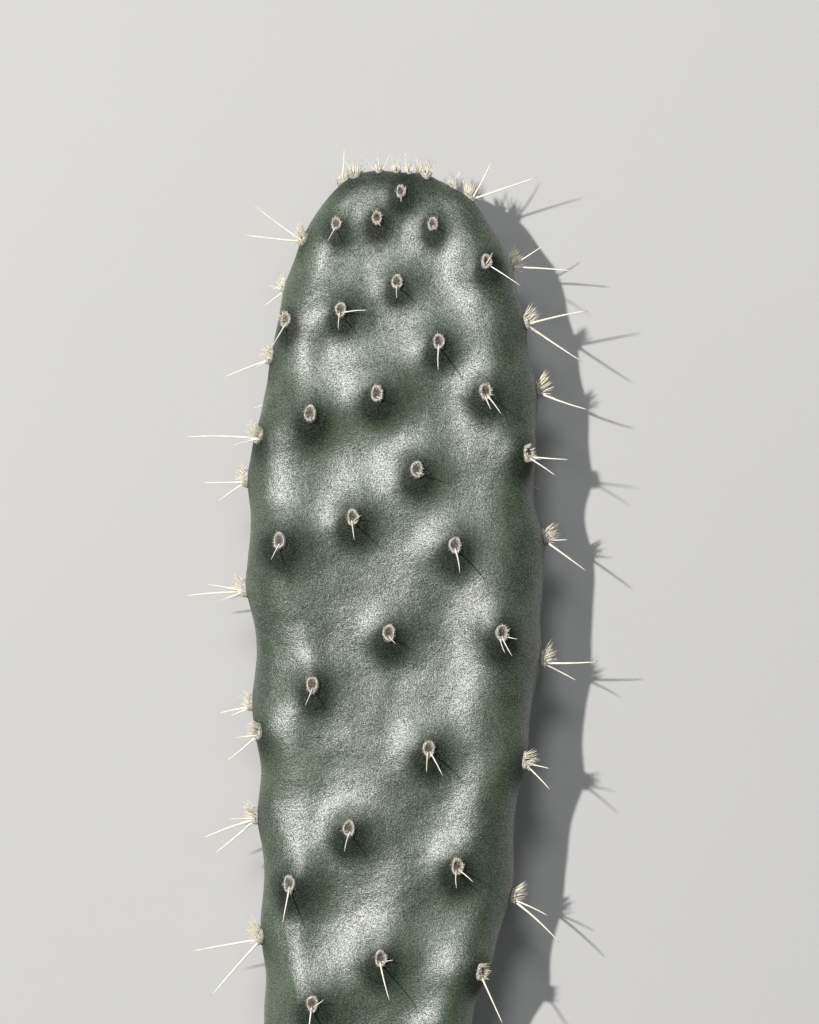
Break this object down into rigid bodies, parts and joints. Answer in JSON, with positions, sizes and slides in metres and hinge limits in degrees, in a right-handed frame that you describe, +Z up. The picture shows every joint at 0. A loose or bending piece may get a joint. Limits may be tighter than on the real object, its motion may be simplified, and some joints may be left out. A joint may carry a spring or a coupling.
{
  "type": "prickly pear cactus pad",
  "caption": "Long, flattened green prickly pear pad, as picked, with raised areoles that carry pale felt, tufts of glochids and straight straw-coloured spines.",
  "frame": {"origin": "on the surface that the pad lies on, under the middle of the whole object, spines included", "axes": "+Y along the pad from its cut base to its tip, +Z up out of its front face, +X across it to the right as the front face is seen with the tip up"},
  "size_m": [0.1054, 0.288, 0.0464],
  "materials": {
    "pad_skin": "satin",
    "areole": "matte"
  },
  "bodies": {
    "root": {"areole_back_01": "areole", "areole_back_02": "areole", "areole_back_03": "areole", "areole_back_04": "areole", "areole_back_05": "areole", "areole_back_06": "areole", "areole_back_07": "areole", "areole_back_08": "areole", "areole_back_09": "areole", "areole_back_10": "areole", "areole_back_11": "areole", "areole_front_01": "areole", "areole_front_02": "areole", "areole_front_03": "areole", "areole_front_04": "areole", "areole_front_05": "areole", "areole_front_06": "areole", "areole_front_07": "areole", "areole_front_08": "areole", "areole_front_09": "areole", "areole_front_10": "areole", "areole_front_11": "areole", "areole_front_12": "areole", "areole_front_13": "areole", "areole_front_14": "areole", "areole_front_15": "areole", "areole_front_16": "areole", "areole_front_17": "areole", "areole_front_18": "areole", "areole_front_19": "areole", "areole_front_20": "areole", "areole_front_21": "areole", "areole_front_22": "areole", "areole_front_23": "areole", "areole_front_24": "areole", "areole_front_25": "areole", "areole_front_26": "areole", "areole_front_27": "areole", "areole_front_28": "areole", "areole_left_rim_01": "areole", "areole_left_rim_02": "areole", "areole_left_rim_03": "areole", "areole_left_rim_04": "areole", "areole_left_rim_05": "areole", "areole_left_rim_06": "areole", "areole_left_rim_07": "areole", "areole_left_rim_08": "areole", "areole_left_rim_09": "areole", "areole_left_rim_10": "areole", "areole_left_rim_11": "areole", "areole_left_rim_12": "areole", "areole_right_rim_01": "areole", "areole_right_rim_02": "areole", "areole_right_rim_03": "areole", "areole_right_rim_04": "areole", "areole_right_rim_05": "areole", "areole_right_rim_06": "areole", "areole_right_rim_07": "areole", "areole_right_rim_08": "areole", "pad": "pad_skin"}
  },
  "joints": []
}
